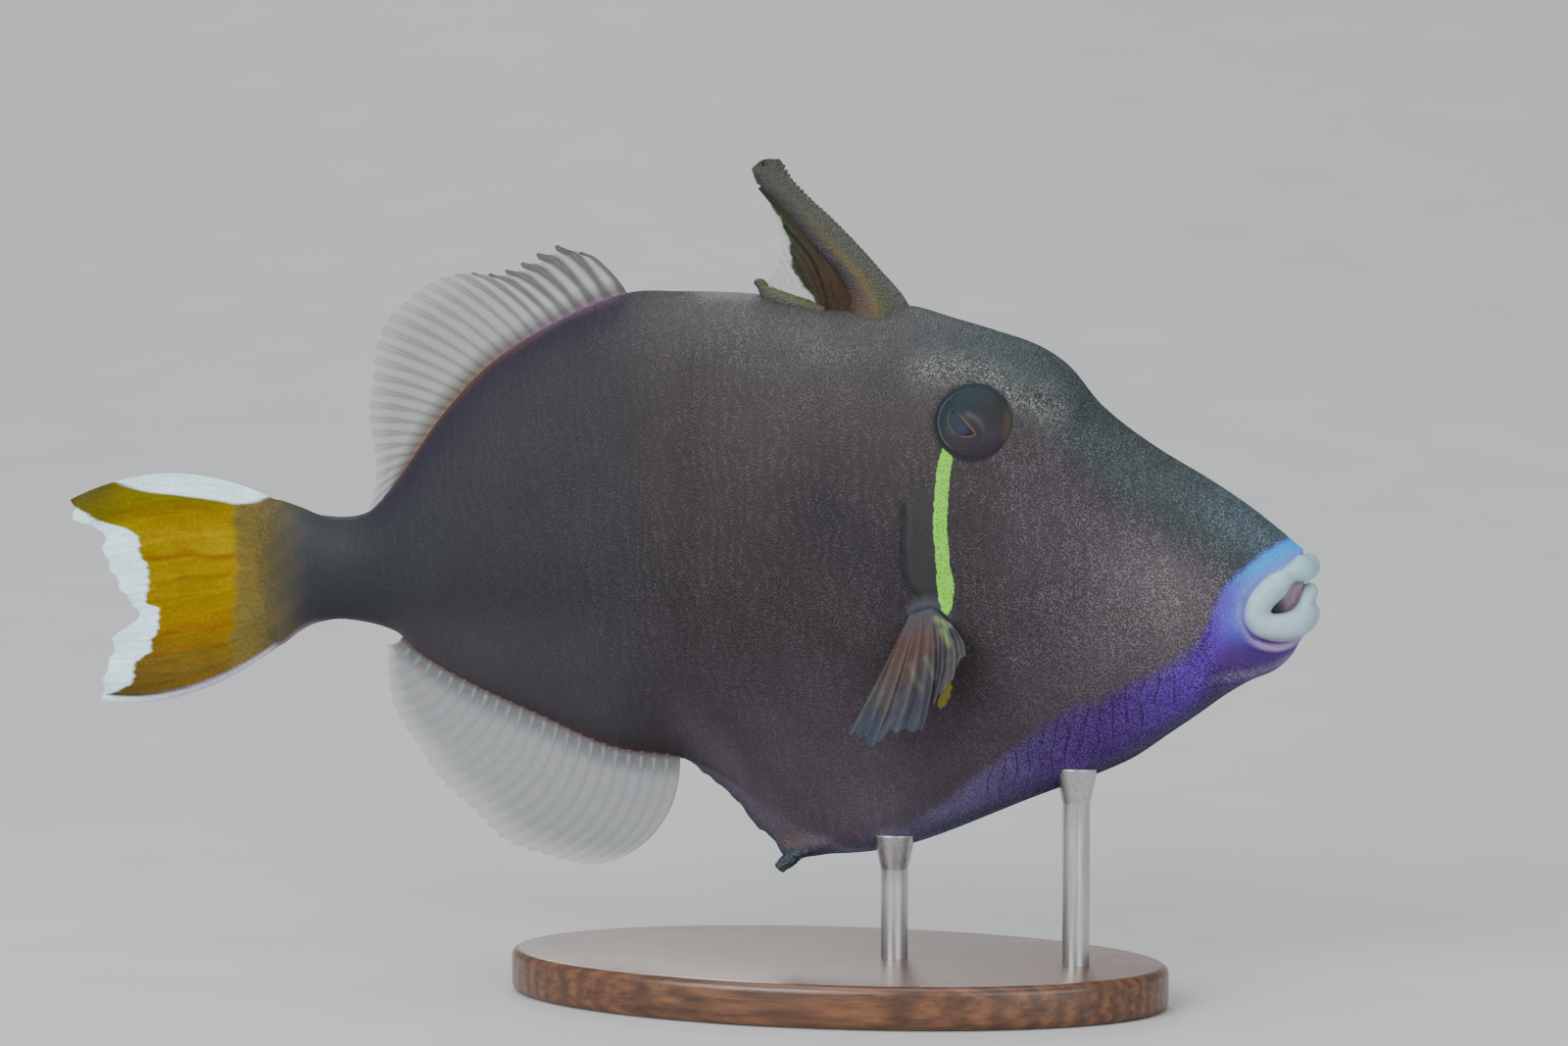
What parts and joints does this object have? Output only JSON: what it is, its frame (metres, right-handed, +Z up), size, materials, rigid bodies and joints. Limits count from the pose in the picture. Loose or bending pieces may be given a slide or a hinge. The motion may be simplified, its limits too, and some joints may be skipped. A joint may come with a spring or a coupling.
{
  "type": "halfmoon triggerfish model",
  "caption": "Life-size still model of a halfmoon triggerfish, with its fins spread and a raised dorsal spine, held over a flat oval base by short rods.",
  "frame": {"origin": "centre of the underside of the display stand's base", "axes": "+X towards the snout, +Y towards the fish's left side, +Z up"},
  "size_m": [0.2434, 0.068, 0.1557],
  "materials": {
    "head_skin": "fine grained satin skin",
    "body_skin": "fine grained satin skin",
    "lip": "smooth satin",
    "eye": "clear gloss",
    "spine": "rough, granular",
    "spine_membrane": "thin satin skin",
    "clear_fin": "thin translucent skin",
    "tail_fin": "thin satin skin",
    "pectoral_fin": "thin translucent skin",
    "stand_wood": "satin lacquer",
    "stand_steel": "brushed"
  },
  "bodies": {
    "root": {"head": "head_skin", "upper_lip": "lip", "lower_lip": "lip", "eye_right": "eye", "eye_left": "eye", "trunk": "body_skin", "tail_stalk": "body_skin", "ventral_flap": "body_skin", "pelvic_spine": "spine", "first_dorsal_spine": "spine", "second_dorsal_spine": "spine", "first_dorsal_membrane": "spine_membrane", "second_dorsal_fin": "clear_fin", "anal_fin": "clear_fin", "caudal_fin": "tail_fin", "pectoral_fin_right": "pectoral_fin", "pectoral_fin_left": "pectoral_fin", "stand_base": "stand_wood", "stand_rod_front": "stand_steel", "stand_rod_rear": "stand_steel"}
  },
  "joints": []
}
